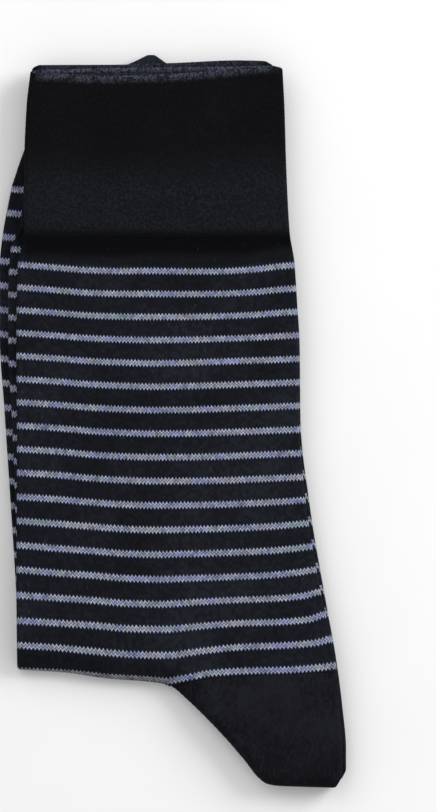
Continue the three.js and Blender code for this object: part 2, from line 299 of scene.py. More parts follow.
# How the stripes run across a leg: stripe k's left end lies at FIRST - PITCH k - SPREAD k^2, and
# between its ends it sags by these lengths, given for some of the 18 stripes.
FIRST, PITCH, SPREAD = 52.87, 7.735, 0.019
SAGGING = (0, 4, 9, 13, 15, 16, 17)
SAG = table(
    "across k0 k4 k9 k13 k15 k16 k17",
    (0.00, -0.1, -0.3, -0.5, -0.2, 0.7, 0.7, 0.3),
    (0.13, 0.9, 0.5, 0.2, 1.0, 1.5, 1.6, 1.6),
    (0.25, 1.8, 1.4, 1.3, 1.8, 2.3, 2.9, 2.9),
    (0.37, 2.1, 1.9, 2.0, 2.8, 3.4, 3.9, 3.9),
    (0.48, 2.0, 2.2, 2.3, 3.1, 3.5, 4.1, 4.2),
    (0.54, 2.1, 2.1, 2.3, 2.9, 3.0, 3.3, 3.2),
    (0.60, 2.2, 2.0, 2.3, 2.7, 2.4, 2.5, 1.8),
    (0.72, 2.2, 1.6, 2.1, 2.3, 1.5, 1.2, 1.0),
    (0.85, 1.6, 1.2, 1.6, 1.7, 1.1, 0.7, 0.7),
    (0.95, 0.5, 0.9, 1.2, 0.7, 0.2, -0.1, -0.1),
    (1.00, 0.1, 0.7, 1.0, -0.1, -1.5, -1.4, -0.7),
)

# How the cuff's lower edge waves
WELT_WAVE = table(
    "x rise", (-48, 0.0), (-36, -0.1), (-22, 0.1), (-10, -0.3), (0, -0.5), (12, -0.3), (22, 0.0),
    (39, 0.0),
)

# Soft ridges and troughs of the cloth, each at a place, `long` at `turn` degrees from +X and
# `wide` square to that. A minus height is a trough. First the outer leg's upper face.
LEG_CREASES = table(
    "x y long wide turn height",
    (0.5, -72.0, 19.0, 9.0, 75, 0.65),
    (-14.0, -80.0, 22.0, 3.5, 4, -0.30),
    (14.0, -80.0, 12.0, 4.0, 130, -0.25),
    (-36.0, -78.0, 16.0, 4.0, -6, -0.28),
    (30.0, -76.0, 20.0, 5.0, 8, 0.22),
    (46.0, -62.0, 16.0, 3.5, 80, -0.22),
    (-2.0, -30.0, 26.0, 7.0, 20, -0.30),
    (-30.0, -48.0, 24.0, 6.0, -12, 0.20),
    (22.0, -44.0, 22.0, 6.0, 12, 0.22),
    (-34.0, -8.0, 20.0, 6.0, 28, -0.18),
    (28.0, -4.0, 24.0, 6.0, -18, -0.20),
    (4.0, 14.0, 28.0, 7.0, 6, 0.24),
    (-22.0, 34.0, 18.0, 5.0, -14, -0.16),
    (24.0, 38.0, 20.0, 5.0, 10, 0.18),
    (-46.0, 10.0, 34.0, 3.0, 90, 0.20),
    (38.0, 18.0, 30.0, 3.0, 88, 0.16),
)
CUFF_CREASES = table(
    "x y long wide turn height",
    (-8.0, 74.0, 34.0, 6.0, 3, 0.22),
    (-30.0, 92.0, 18.0, 5.0, 80, 0.16),
    (6.0, 100.0, 30.0, 9.0, 4, -0.18),
    (28.0, 84.0, 20.0, 4.5, 84, 0.16),
    (-42.0, 104.0, 16.0, 3.0, 88, 0.14),
)
HEEL_CREASES = table(
    "x y long wide turn height",
    (34.0, -102.0, 12.0, 9.0, 40, 0.35),
    (20.0, -104.0, 18.0, 4.0, 130, -0.30),
    (46.0, -112.0, 14.0, 4.0, 10, -0.25),
    (50.0, -96.0, 14.0, 3.0, 84, 0.25),
)
FOOT_CREASES = table(
    "x y long wide turn height",
    (-10.0, -60.0, 20.0, 6.0, 24, -0.30),
    (-34.0, -34.0, 18.0, 4.0, -30, -0.25),
    (4.0, -14.0, 22.0, 5.0, 16, -0.30),
    (-30.0, 14.0, 24.0, 5.0, 70, -0.22),
    (6.0, 34.0, 20.0, 5.0, -14, -0.25),
    (-20.0, 56.0, 22.0, 4.0, 8, -0.22),
    (24.0, -66.0, 14.0, 4.0, 140, -0.25),
)


CREASE_BOW = 0.12


def creased(rows, x, y):
    """Height of the creases at (x, y): the sum of height exp(-(p/long)^2 - (q/wide)^2), where
    p runs along a crease, bowed a little, and q square to it."""
    total = np.zeros(np.broadcast(x, y).shape)
    for at_x, at_y, long, wide, turn, height in zip(*rows.values()):
        angle = math.radians(turn)
        p = (x - at_x) * math.cos(angle) + (y - at_y) * math.sin(angle)
        q = (y - at_y) * math.cos(angle) - (x - at_x) * math.sin(angle)
        bow = q + CREASE_BOW * p * p / long
        total += height * np.exp(-((p / long) ** 2) - (bow / wide) ** 2)
    return total


def with_curves(tables):
    """A sock's tables with the curves through them, still without what hangs on the hairpin."""
    sock = SimpleNamespace(**tables)
    for stretch in ("leg", "foot", "toe"):
        for side in ("left", "right"):
            setattr(sock, f"{stretch}_{side}", curve(tables[stretch], "y", side))
    sock.fold_at = curve(sock.fold, "x", "y")
    sock.turn_at = curve(sock.turn, "x", "radius")
    sock.heel_at = curve(sock.heel, "x", "y")
    sock.front_at, sock.back_at = (curve(sock.mouth, "x", wall) for wall in ("front", "back"))
    sock.rise_at = curve(sock.stripe_rise, "wale", "rise")
    wave = curve(WELT_WAVE, "x", "rise")
    sock.welt_at = lambda x: sock.welt_course + wave(x)
    return sock


outer, inner = with_curves(OUTER), with_curves(INNER)


def slant(sock, x):
    """How much thicker a wall is along Y than square to the fold line: sqrt(1 + fold'(x)^2)."""
    step = 0.5
    return np.hypot(1, (sock.fold_at(x + step) - sock.fold_at(x - step)) / (2 * step))


def hairpin(sock, x):
    """The hairpin at each x: a turn of `radius` about (y, z), a straight ramp at `incline`, and
    an arc of radius `over` above the sock inside. The ramp is the common tangent of the two
    circles, so incline = asin((over - radius) / reach) + atan2(rise, run)."""
    radius = sock.turn_at(x)
    y = sock.fold_at(x) + HALF * slant(sock, x) + radius
    z = sock.foot_height + radius
    pin = SimpleNamespace(radius=radius, y=y, z=z, incline=0 * x, ramp=0 * x, over=radius)
    if sock is inner:
        return pin
    top = inner.fold_at(x) + HALF * slant(inner, x) + INNER_TURN
    run, rise = top - y, inner.foot_height + INNER_TURN - z
    reach = np.hypot(run, rise)
    spread = WRAP_RADIUS - radius
    pin.incline = np.arcsin(np.minimum(1, spread / reach)) + np.arctan2(rise, run)
    pin.ramp = np.sqrt(np.maximum(0, reach * reach - spread * spread))
    pin.over = WRAP_RADIUS + 0 * x
    return pin


def along(pin, s):
    """(y, z) of the middle at distance s along the hairpin: 0 on the outermost line of the fold,
    plus up the leg, minus up the foot. Each stretch adds its own share of the way."""
    quarter = pin.radius * math.pi / 2
    turned = pin.radius * (math.pi / 2 - pin.incline)
    angle = np.clip(s, -quarter, turned) / pin.radius
    y = pin.y - pin.radius * np.cos(angle) + np.maximum(-s - quarter, 0)
    z = pin.z + pin.radius * np.sin(angle)
    up = np.clip(s - turned, 0, pin.ramp)
    bend = pin.incline - np.clip(s - turned - pin.ramp, 0, pin.over * pin.incline) / pin.over
    y = y + up * np.cos(pin.incline) + pin.over * (np.sin(pin.incline) - np.sin(bend))
    z = z + up * np.sin(pin.incline) + pin.over * (np.cos(bend) - np.cos(pin.incline))
    return y + np.maximum(s - turned - pin.ramp - pin.over * pin.incline, 0), z


LONGEST = 260.0                 # no way along a hairpin is longer
HALVINGS = 26
PLACES = np.linspace(-64, 64, 641)      # the x at which reaches are worked out


def reach(sock, target, side):
    """Distance along the hairpin at which it comes to y = target(x), as a function of x. It is
    found by halving the span that holds it, on the leg (side 1) or on the foot (side -1)."""
    pin = hairpin(sock, PLACES)
    aim = target(PLACES)
    low, high = np.zeros_like(PLACES), np.full_like(PLACES, LONGEST)
    for _ in range(HALVINGS):
        half_way = (low + high) / 2
        below = along(pin, side * half_way)[0] < aim
        low, high = np.where(below, half_way, low), np.where(below, high, half_way)
    return lambda x: np.interp(x, PLACES, side * low)


for sock in (outer, inner):
    tip = max(sock.toe["y"])
    sock.heel_up = reach(sock, sock.heel_at, 1)
    sock.heel_down = reach(sock, sock.heel_at, -1)
    sock.to_welt = reach(sock, sock.welt_at, 1)
    sock.to_toe = reach(sock, lambda x: sock.toe_course + 0 * x, -1)
    sock.to_tip = reach(sock, lambda x: tip + 0 * x, -1)

SETTLINGS = 7                   # rounds in which places settle on each other


def middle(sock, left, right, across, distance, cut=False):
    """Middle surface of a stretch on the grid rows x across, as (points, out, side).

    A point is x = left(y, s) + (right(y, s) - left(y, s)) across and (y, z) =
    along(hairpin(x), s), with x and y settled on each other. `distance(x)` gives s for every
    row. out is the unit normal towards the outside of the fold, side the unit tangent to the
    right.
    """
    x = np.zeros((len(distance(0.0)), len(across)))
    for _ in range(SETTLINGS):
        s = distance(x)
        y, z = along(hairpin(sock, x), s)
        a = left(y, s) + (0 if cut else HALF)
        x = a + (right(y, s) - HALF - a) * across
    points = np.stack([x, y, z], -1)
    side = np.gradient(points, axis=1)
    side /= np.linalg.norm(side, axis=-1, keepdims=True)
    out = np.cross(side, np.gradient(points, axis=0))
    out /= np.linalg.norm(out, axis=-1, keepdims=True)
    return points, out, side


def either(side):
    """A side that is the same on both ways along the hairpin."""
    return lambda y, s: side(y)


SIDE_STEPS = 7                  # columns round a pressed side edge
RIDGE = 0.085                   # height of the knit's wales


def wales_of(across, back, open_left=False):
    """Stations round a side edge, as angles from the outside face, and wale numbers of a ring's
    columns, from the left end of that face round to it again. A closed ring ends with the number
    that its first column has after one round."""
    turn = math.pi * np.arange(1, SIDE_STEPS + 1) / (SIDE_STEPS + 1)
    start = SIDE_WALES / 2
    front = start + FACE_WALES * across
    right = start + FACE_WALES + SIDE_WALES * turn / math.pi
    under = start + FACE_WALES + SIDE_WALES + FACE_WALES * (1 - back)
    if open_left:
        return turn, np.concatenate([front, right, under])
    left = start + 2 * FACE_WALES + SIDE_WALES * (1 + turn / math.pi)
    return turn, np.concatenate([front, right, under, left, [start + ROUND_WALES]])


def ring(front, back, turn, half, raised=0.0, open_left=False):
    """Rings of one skin: the front and back faces at `half` from the middle surface, joined
    round their side edges by half circles P + half (cos t out + sin t side). `raised` lifts the
    front face further. `back` is given from right to left."""
    (p, out, side), (q, away, _) = front, back
    lift = np.broadcast_to(half, p.shape[:2])[..., None] + np.asarray(raised)[..., None]
    across_half = np.broadcast_to(half, (len(p), 1))[:, :, None]
    faces = [p + out * lift]

    def edge(column, way, angles):
        cos, sin = np.cos(angles)[None, :, None], np.sin(angles)[None, :, None]
        centre, normal, sideways = (g[:, column][:, None] for g in (p, out, side))
        return centre + across_half * (cos * normal + way * sin * sideways)

    faces.append(edge(-1, 1, turn))
    faces.append(q - away * np.broadcast_to(half, q.shape[:2])[..., None])
    if not open_left:
        faces.append(edge(0, -1, turn[::-1]))
    return np.concatenate(faces, axis=1)


def ridges(wales):
    """Height of the wales' two legs: RIDGE (1 - cos(4 pi wale)) / 2, 0 between the legs."""
    return RIDGE * (1 - np.cos(4 * math.pi * wales)) / 2


def run(start, end, near, part):
    """Distances from start to end: first `near` past the start, then even parts of what is
    left. In a short run the first ones are squeezed into half of it."""
    length, turn = np.abs(end - start), near.max()
    squeeze = np.minimum(1, 0.5 * length / turn)
    return start + np.sign(end - start) * (near * squeeze + part * (length - turn * squeeze))


def rows_to(count, dense=0.4, turn=6.0):
    """Columns (near, part) for run(): dense rows through the turn, then `count` even ones."""
    first = np.arange(0, turn + dense / 2, dense)
    near = np.concatenate([first, np.full(count, first[-1])])
    part = np.concatenate([np.zeros(len(first)), np.arange(1, count + 1) / count])
    return near[:, None], part[:, None]


INSIDE_ROWS = rows_to(10, 1.5)  # the unseen inner skins take few rows


def stripe_number(sock, across, wales, y):
    """Number k of the stripe at y, with parts: settles k = (FIRST + rise - sag - SPREAD k^2 - y)
    / PITCH, with the sag read between the stripes of the table. From stripe 5 to 7 the left
    side's stripes come down by the sock's left_drop."""
    columns = np.broadcast_to(np.arange(len(across)), y.shape)
    left = sock.left_drop * smooth(np.abs(wales - ROUND_WALES / 2) / 40 - 0.5)
    sags = np.stack([curve(SAG, "across", f"k{k}")(across) for k in SAGGING])
    k = (FIRST - y) / PITCH
    for _ in range(SETTLINGS):
        place = np.interp(k, SAGGING, np.arange(len(SAGGING)))
        i = np.minimum(place.astype(int), len(SAGGING) - 2)
        sag = sags[i, columns] + (place - i) * (sags[i + 1, columns] - sags[i, columns])
        rise = sock.rise_at(wales) - left * smooth((k - 5) / 2.2)
        k = (FIRST + rise - sag - SPREAD * k * k - y) / PITCH
    return k


FOLD_STRIPE = table("x past", (-52, 0.1), (-40, 0.45), (-20, 1.35), (0, 1.6), (57, 1.6))
fold_stripe = curve(FOLD_STRIPE, "x", "past")       # how far past the fold line its stripe lies


def leg_courses(sock, across, wales, points, s):
    """Course numbers down a leg: read off the stripes, and counted from the fold near it."""
    x, y = points[..., 0], points[..., 1]
    read = REPEAT * stripe_number(sock, across, wales, y) + 1
    counted = LAST_STRIPE - (s - fold_stripe(x)) / COURSE
    near_fold = (1 - smooth((s - 1.5) / 5)) * (1 - smooth((x - sock.corner + 4) / 8))
    return read + (counted - read) * near_fold


def foot_courses(sock, across, wales, points, s):
    """Course numbers up a foot, counted from the fold."""
    return LAST_STRIPE - (s - fold_stripe(points[..., 0])) / sock.foot_course


def torus_faces(rows, columns, loop):
    """Quads of a grid whose columns close on themselves, and its rows too if loop."""
    bands = rows if loop else rows - 1
    i, j = np.meshgrid(np.arange(bands), np.arange(columns), indexing="ij")
    up, on = (i + 1) % rows, (j + 1) % columns
    corners = np.stack([i * columns + j, i * columns + on, up * columns + on, up * columns + j], -1)
    spots = np.stack([i, j, i, j + 1, i + 1, j + 1, i + 1, j], -1)
    return corners.reshape(-1, 4), spots.reshape(-1, 4, 2)


def strip_cap(row, columns, flip):
    """Quads that close one end of a shell between each column and its mirror, C - 1 - j."""
    j = np.arange(columns // 2 - 1)
    quad = np.stack([j, j + 1, columns - 2 - j, columns - 1 - j], -1)
    quad = quad if flip else quad[:, ::-1]
    return row * columns + quad, np.stack([np.full_like(quad, row), quad], -1)


def knit_piece(name, points, wales, courses, material, loop=True):
    """A mesh object from rings of points (rows x columns), with its faces pointing out. Its rows
    close on themselves, or else its two end rows are capped.

    Map `knit` holds (wale, course) at every corner, and map `OFBake` the ring's own grid laid
    out flat, row over row.
    """
    count, columns, _ = points.shape
    corners, spots = torus_faces(count, columns, loop)
    if not loop:
        for row, flip in ((0, False), (count - 1, True)):
            more, more_spots = strip_cap(row, columns, flip)
            corners = np.concatenate([corners, more])
            spots = np.concatenate([spots, more_spots])
    mesh = bpy.data.meshes.new(name)
    mesh.from_pydata((points.reshape(-1, 3) - CENTRE) * MM, [], corners)
    row, column = spots[..., 0], spots[..., 1]
    courses = np.concatenate([courses, courses[:, :1]], axis=1)
    knit = np.stack([wales[column], courses[row % count, column]], -1)
    lie = (wales - wales[0]) / (wales[-1] - wales[0])
    bake = np.stack([lie[column], row / (count if loop else count - 1)], -1)
    for layer, values in (("knit", knit), ("OFBake", bake)):
        mesh.uv_layers.new(name=layer).uv.foreach_set("vector", values.astype(np.float32).ravel())
    mesh.polygons.foreach_set("use_smooth", np.ones(len(corners), bool))
    mesh.materials.append(material)
    mesh.update()
    piece = bpy.data.objects.new(name, mesh)
    bpy.context.scene.collection.objects.link(piece)
    return piece


class Shade:
    """A socket of a shader. Sums and products on it add Math nodes."""

    def __init__(self, finish, socket):
        self.finish, self.socket = finish, socket

    def math(self, operation, *others):
        settings = {"operation": operation}
        return self.finish.node("ShaderNodeMath", settings, dict(enumerate((self, *others))))

    __add__ = partialmethod(math, "ADD")
    __sub__ = partialmethod(math, "SUBTRACT")
    __mul__ = partialmethod(math, "MULTIPLY")
    __truediv__ = partialmethod(math, "DIVIDE")
    __mod__ = partialmethod(math, "FLOORED_MODULO")
    __lt__ = partialmethod(math, "LESS_THAN")
    __gt__ = partialmethod(math, "GREATER_THAN")

    def __rsub__(self, other):
        return self * -1 + other

    def ramp(self, low, high):
        """0 below low, 1 above high and smooth between; low above high turns it round."""
        settings = {"interpolation_type": "SMOOTHSTEP"}
        turned = low > high
        values = {"Value": self, "From Min": min(low, high), "From Max": max(low, high)}
        rise = self.finish.node("ShaderNodeMapRange", settings, values)
        return 1 - rise if turned else rise


class Finish:
    """A material whose nodes come from node()."""

    def __init__(self, name):
        self.material = bpy.data.materials.new(name)
        self.material.use_nodes = True
        self.tree = self.material.node_tree
        self.tree.nodes.clear()

    def node(self, kind, settings=None, values=None, output=0):
        """A node of that kind: its settings, then the values or links of its inputs."""
        node = self.tree.nodes.new(kind)
        for key, value in (settings or {}).items():
            setattr(node, key, value)
        for key, value in (values or {}).items():
            if isinstance(value, Shade):
                self.tree.links.new(value.socket, node.inputs[key])
            else:
                node.inputs[key].default_value = value
        return Shade(self, node.outputs[output]) if node.outputs else None

    def graded(self, value, *stops):
        """The colour at a value, on a ramp through stops (value, red, green, blue)."""
        shade = self.node("ShaderNodeValToRGB", None, {0: value})
        elements = shade.socket.node.color_ramp.elements
        while len(elements) < len(stops):
            elements.new(0.5)
        for element, (place, *shown) in zip(elements, stops):
            element.position, element.color = place, colour(*shown)
        return shade

    def mix(self, factor, first, second, blend="MIX"):
        """Mixes two colours, by a factor on them both."""
        settings = {"data_type": "RGBA", "blend_type": blend}
        return self.node("ShaderNodeMix", settings, {0: factor, 6: first, 7: second}, output=2)

    def noise(self, vector, scale, detail=2.0):
        """Soft noise about 0.5."""
        values = {"Vector": vector, "Scale": scale, "Detail": detail}
        return self.node("ShaderNodeTexNoise", None, values)

    def vector(self, x, y, z=0.0):
        return self.node("ShaderNodeCombineXYZ", None, {0: x, 1: y, 2: z})

    def parts(self, vector):
        """A vector's x, y and z."""
        return [self.node("ShaderNodeSeparateXYZ", None, {0: vector}, output=i) for i in range(3)]

    def random(self, x, y, z=0.0):
        """A number from 0 to 1 of its own for each cell."""
        return self.node("ShaderNodeTexWhiteNoise", None, {"Vector": self.vector(x, y, z)})


def colour(red, green, blue):
    """A colour as the screen shows it, 0 to 255, as the shader's linear one."""
    share = np.array([red, green, blue]) / 255
    linear = np.where(share <= 0.04045, share / 12.92, ((share + 0.055) / 1.055) ** 2.4)
    return (*linear.tolist(), 1.0)


YARN_RELIEF = 0.00022           # height of the yarn in the finish, in metres


class Knit(Finish):
    """A knitted finish. It finds each point's stitch from the map `knit`.

    wale and course are whole numbers, w runs from -1/2 to 1/2 across a stitch and f from 0 to 1
    down it. A stitch's two legs lean together towards the cuff, so its courses are counted on
    v - lean (2 |w| - 1/2). loft is the height of the yarn, 0 in the gaps and 1 on the legs. x, y
    and z are the place in the frame, in metres.
    """

    def __init__(self, name, lean):
        super().__init__(name)
        place = self.node("ShaderNodeUVMap", {"uv_map": "knit"})
        self.u, self.v, _ = self.parts(place)
        self.wale = self.u.math("FLOOR")
        self.w = self.u - self.wale - 0.5
        self.spread = self.w.math("ABSOLUTE") * 2
        self.row = self.v - (self.spread - 0.5) * lean
        self.course = self.row.math("FLOOR")
        self.f = self.row - self.course
        legs = (self.spread * math.pi).math("SINE")
        self.loft = self.f * (1 - self.f) * 4 * (1.15 - legs * 0.3)
        self.object = self.node("ShaderNodeTexCoord", None, None, output=3)
        self.x, self.y, self.z = self.parts(self.object)

    def close(self, base, rough, bump, sheen_colour):
        """Ends the tree in a rough cloth with the yarns' relief."""
        fuzz = self.noise(self.object, 5200.0, 1.0)
        height = self.loft + fuzz * 0.35
        relief = {"Strength": bump, "Distance": YARN_RELIEF, "Height": height}
        normal = self.node("ShaderNodeBump", None, relief)
        cloth = {
            "Base Color": base,
            "Roughness": rough,
            "Specular IOR Level": 0.02,
            "Sheen Weight": 0.02,
            "Sheen Roughness": 0.4,
            "Sheen Tint": sheen_colour,
            "Normal": normal,
        }
        shader = self.node("ShaderNodeBsdfPrincipled", None, cloth)
        self.node("ShaderNodeOutputMaterial", None, {"Surface": shader})
        return self.material


def shaded(finish, base, low, high):
    """Painted shade in the yarns' gaps and painted highlight on their tops: base (low + (high -
    low) loft).
    """
    light = finish.loft * (high - low) + low
    grey = finish.vector(light, light, light)
    return finish.mix(1.0, base, grey, "MULTIPLY")


HAIR_WIDTH, HAIR_LENGTH = 1 / 1500, 1 / 260     # scale of a loose hair, in metres
HAIR_BEND = 0.012


def lint(knit):
    """How much of the cloth a few short loose hairs cover: the tops of a noise drawn out
    along Y and bent by a slower one."""
    bend = knit.noise(knit.object, 90.0, 1.0) - 0.5
    across, along_y = (knit.x + bend * HAIR_BEND) / HAIR_WIDTH, knit.y / HAIR_LENGTH
    return knit.noise(knit.vector(across, along_y), 1.0, 1.0).ramp(0.72, 0.80) * 0.35


# Where the outer welt's painted shadow is darkest on the plain courses under it, in metres: above a
# Y that falls past an X, above the inner leg's Z, and in from the left side's X
WELT_SHADE_Y = (0.0548, 0.0584)
WELT_SHADE_FALLS_PAST, WELT_SHADE_SLOPE = 0.024, 0.2
WELT_SHADE_Z = (0.0068, 0.0076)
WELT_SHADE_X = (-0.0520, -0.0495)
FOLD_STRIPE_X = (0.004, -0.004)     # the stripe on the fold is greyer up to here

# Brightness of a pale yarn: the least, and how much chance adds to a stitch and to each of its legs
PALE_LEAST, BY_STITCH, BY_LEG = 0.465, 0.4, 0.66


def striped_knit():
    """Near-black navy plain knit with two pale heather courses in every eight, and the outer welt's
    painted shadow on the plain courses under it.
    """
    knit = Knit("striped_knit", lean=0.9)
    tone = knit.random(knit.wale, knit.course)
    patch = knit.noise(knit.object, 46.0, 2.0)
    dark = knit.graded(
        patch * 0.75 + tone * 0.25, (0.30, 20, 22, 25), (0.52, 26, 28, 34), (0.72, 34, 37, 43)
    )
    since = knit.row % REPEAT
    beside = (since - PALE / 2).math("ABSOLUTE").ramp(2.6, 1.0)
    dark = knit.mix(beside * 0.5, dark, colour(20, 26, 40))
    dark = knit.mix(knit.row.ramp(-0.4, -1.6) * 0.7, dark, colour(20, 21, 24))
    falls = (knit.x - WELT_SHADE_FALLS_PAST).math("MAXIMUM", 0.0) * WELT_SHADE_SLOPE
    edge = knit.y + (patch - 0.5) * 0.003 - falls
    # Painted shadow that the outer welt's thick lower edge casts on the leg's plain courses below
    # it
    welt_shadow = edge.ramp(*WELT_SHADE_Y) * knit.z.ramp(*WELT_SHADE_Z) * knit.x.ramp(*WELT_SHADE_X)
    dark = knit.mix(welt_shadow, dark, colour(12, 12, 14))
    stripe = (knit.course / REPEAT).math("FLOOR")
    heather = knit.noise(knit.vector(knit.wale * 0.11, stripe * 7.3), 1.0, 1.5)
    pale = knit.graded(
        heather,
        (0.30, 160, 176, 190),
        (0.40, 168, 177, 195),
        (0.46, 160, 165, 207),
        (0.52, 170, 176, 199),
        (0.60, 175, 179, 193),
        (0.70, 160, 170, 200),
    )
    last = (knit.row - LAST_STRIPE).math("ABSOLUTE") < REPEAT / 2
    pale = knit.mix(last * knit.x.ramp(*FOLD_STRIPE_X) * 0.85, pale, colour(148, 150, 156))
    leg_tone = knit.random((knit.u * 2).math("FLOOR"), knit.course, 3.0)
    bright = tone * BY_STITCH + leg_tone * BY_LEG + PALE_LEAST
    pale = knit.mix(1.0, pale, knit.vector(bright, bright, bright), "MULTIPLY")
    striped = (since < PALE) * (knit.row > 0.0)
    base = knit.mix(striped, shaded(knit, dark, 0.8, 1.1), shaded(knit, pale, 0.0, 0.84))
    base = knit.mix(lint(knit), base, colour(78, 82, 94))
    return knit.close(base, 0.92, 0.6, colour(170, 178, 200))


TOE_TIP_Y = (0.096, 0.116)          # the toe's tip greys over this stretch, in metres


def plain_knit():
    """Near-black plain knit of the heels and toes, greyer at the toes' tips."""
    knit = Knit("heel_toe_knit", lean=0.9)
    tone = knit.random(knit.wale, knit.course)
    patch = knit.noise(knit.object, 60.0, 3.0)
    tip = knit.y.ramp(*TOE_TIP_Y)
    dark = knit.mix(tip, colour(21, 21, 25), colour(30, 33, 40))
    light = knit.mix(tip, colour(33, 34, 40), colour(50, 54, 64))
    base = knit.mix((patch * 0.7 + tone * 0.3).ramp(0.3, 0.75), dark, light)
    base = knit.mix(lint(knit) * 0.6, shaded(knit, base, 0.7, 1.1), colour(70, 72, 82))
    return knit.close(base, 0.93, 0.5, colour(170, 175, 190))


# Painted shade on the welt's lower edge, where it rounds down to the leg
WELT_END_SHADE_Y = (0.0656, 0.0626)       # the welt's lower edge darkens over this stretch, in metres

# Stretches of the cuff in its courses, counted from the mouth and minus on the outside
FLECKED_PAST = (-36.0, -66.0)
# Courses of the rolled edge that carry a painted highlight
HIGHLIT_ROLLED_EDGE = (-4.4, -0.2)
LINING_FROM = (0.9, 2.1)
# Painted shade on the lining deep in the open mouth, between the walls
PAINTED_MOUTH_SHADE = (3.4, 4.8)


def cuff_knit(name, highlit_rim_dark, highlit_rim_light):
    """The cuffs' fine double knit. The lower half is flecked, the rolled edge and the inside
    speckled. The rolled edge is lighter with painted highlight, and the lining deep in the mouth
    and the welt's lower edge are darker with painted shade."""
    knit = Knit(name, lean=0.5)
    tone = knit.random((knit.u * 2).math("FLOOR"), knit.course)
    patch = knit.noise(knit.object, 50.0, 2.0)
    fleck = knit.noise(knit.object, 1300.0, 1.0)
    low = knit.v.ramp(*FLECKED_PAST)
    mottle = (patch * 0.6 + tone * 0.4).ramp(0.3, 0.8)
    base = knit.mix(mottle, colour(15, 15, 17), colour(20, 20, 23))
    base = knit.mix(low * (fleck.ramp(0.35, 0.8) * 0.5 + 0.15), base, colour(38, 41, 47))
    half_way = ((knit.u / (ROUND_WALES / 2)) % 1.0 - 0.5).math("ABSOLUTE")
    behind = knit.u.ramp(ROUND_WALES / 2 - 1, ROUND_WALES / 2 + 1)
    # Painted highlight where the rolled edge rounds over, on the yarn's speckle; the back wall's
    # rim gets less of it
    rim = (knit.v + (patch - 0.5) * 2).ramp(*HIGHLIT_ROLLED_EDGE) * half_way.ramp(0.49, 0.42)
    rim = rim * (1 - behind * 0.7)
    speckle = (fleck * 0.35 + tone * 0.65).ramp(0.25, 0.85)
    edge = knit.mix(speckle, highlit_rim_dark, highlit_rim_light)
    base = knit.mix(rim, base, edge)
    inside = (knit.v - behind * 0.6).ramp(*LINING_FROM)
    lining = knit.mix(speckle, colour(34, 37, 46), colour(76, 80, 94))
    # Painted shade on the lining deeper in the mouth
    lining = knit.mix(knit.v.ramp(*PAINTED_MOUTH_SHADE) * 0.65, lining, colour(22, 23, 28))
    base = knit.mix(inside, base, lining)
    # Painted shade along the welt's lower edge
    base = knit.mix(knit.y.ramp(*WELT_END_SHADE_Y), base, colour(14, 14, 16))
    return knit.close(shaded(knit, base, 0.75, 1.1), 0.94, 0.4, colour(170, 175, 190))


STRIPED = striped_knit()
PLAIN = plain_knit()
# Rim colours: the outer cuff's lighter with its painted highlight, the inner cuff's darker with the
# painted shade it lies in under the outer cuff
OUTER_CUFF_KNIT = cuff_knit("outer_cuff_knit", colour(27, 29, 35), colour(68, 72, 83))
INNER_CUFF_KNIT_SHADED_RIM = cuff_knit("inner_cuff_knit", colour(28, 27, 33), colour(54, 54, 66))


def grids(sock, left, right, across, back, distances, cut=False):
    """The middle surface under the front columns and under the back ones."""
    front = middle(sock, left, right, across, distances, cut)
    behind = middle(sock, left, right, back[::-1], distances, cut)
    return front, tuple(g[:, ::-1] for g in behind)


def tube_shell(sock, left, right, across, back, distances, coarse, raise_front, count_courses):
    """A stretch of tube as (points, wales, courses): the outer skin with its rows at
    distances(x), then back along the inner one with its rows at coarse(x)."""
    turn, wales = wales_of(across, back)
    front, behind = grids(sock, left, right, across, back, distances)
    skin = ring(front, behind, turn, HALF, raise_front(front[0]))
    inside = ring(*grids(sock, left, right, across, back, coarse), turn, HALF - WALL)
    every = np.concatenate([across, np.ones(SIDE_STEPS), back, np.zeros(SIDE_STEPS)])
    down = [
        count_courses(sock, every, wales[:-1], rings, way(rings[..., 0]))
        for rings, way in ((skin, distances), (inside, coarse))
    ]
    points = np.concatenate([skin, inside[::-1]])
    return points, wales, np.concatenate([down[0], down[1][::-1]])


# The plain courses under a welt draw in this far, deepest so far below its course, over a length
GROOVE_DEPTH, GROOVE_BELOW, GROOVE_LENGTH = 0.5, 2.4, 2.4


def leg(sock, per_wale, back_columns, rows, relief):
    """The striped leg, from the fold and the heel's last course up to the cuff."""
    across = np.linspace(0, 1, FACE_WALES * per_wale + 1)
    back = np.linspace(1, 0, back_columns)

    def rows_of(near, part):
        return lambda x: run(sock.heel_up(x), sock.to_welt(x), near, part)

    def raised(points):
        x, y = points[..., 0], points[..., 1]
        below = (y - sock.welt_course + GROOVE_BELOW) / GROOVE_LENGTH
        folds = creased(LEG_CREASES, x, y) if sock is outer else 0
        wales = ridges(SIDE_WALES / 2 + FACE_WALES * across) * relief
        return wales + folds - GROOVE_DEPTH * np.exp(-(below**2))

    shell = tube_shell(
        sock, either(sock.leg_left), either(sock.leg_right), across, back,
        rows_of(*rows_to(rows)), rows_of(*INSIDE_ROWS), raised, leg_courses,
    )
    return knit_piece(f"{sock.name}_leg_knit", *shell, STRIPED)


def foot(sock, per_wale, back_columns, rows, relief):
    """The striped foot, from the toe's first course down to the fold and the heel."""
    across = np.linspace(0, 1, FACE_WALES * per_wale + 1)
    back = np.linspace(1, 0, back_columns)

    def rows_of(near, part):
        return lambda x: run(sock.heel_down(x), sock.to_toe(x), near[::-1], part[::-1])

    def raised(points):
        folds = creased(FOOT_CREASES, points[..., 0], points[..., 1]) if sock is outer else 0
        return ridges(SIDE_WALES / 2 + FACE_WALES * across) * relief + folds - RIDGE * relief

    shell = tube_shell(
        sock, either(sock.foot_left), either(sock.foot_right), across, back,
        rows_of(*rows_to(rows)), rows_of(*INSIDE_ROWS), raised, foot_courses,
    )
    return knit_piece(f"{sock.name}_foot_knit", *shell, STRIPED)


